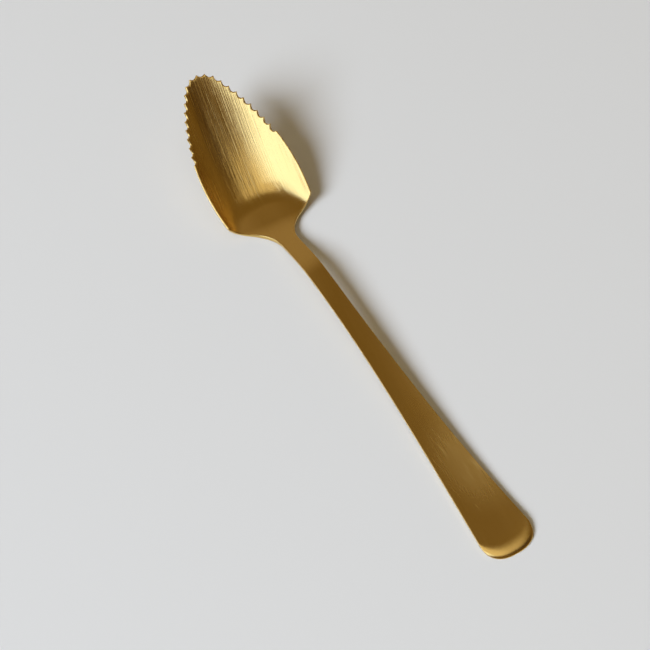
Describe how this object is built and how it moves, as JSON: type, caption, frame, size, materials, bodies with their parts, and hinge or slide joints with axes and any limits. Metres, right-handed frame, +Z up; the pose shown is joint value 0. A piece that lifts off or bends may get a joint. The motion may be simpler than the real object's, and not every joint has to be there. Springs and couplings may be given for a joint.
{
  "type": "fruit spoon",
  "caption": "Gold-coated steel fruit spoon with a pointed, tilted bowl, a serrated rim round its tip, squared shoulders, a slim neck and a flat handle that widens to a rounded end.",
  "frame": {"origin": "on the surface that the spoon rests on, below the middle of its length and width", "axes": "+Y along the spoon towards the tip of the bowl, +Z up out of the bowl's hollow, +X to the right"},
  "size_m": [0.0294, 0.165, 0.022],
  "materials": {
    "brushed_gold": "stainless steel with a thin gold coat, brushed along the spoon"
  },
  "bodies": {
    "root": {"handle_end": "brushed_gold", "handle": "brushed_gold", "shank": "brushed_gold", "neck": "brushed_gold", "bowl": "brushed_gold", "serrated_tip": "brushed_gold"}
  },
  "joints": []
}
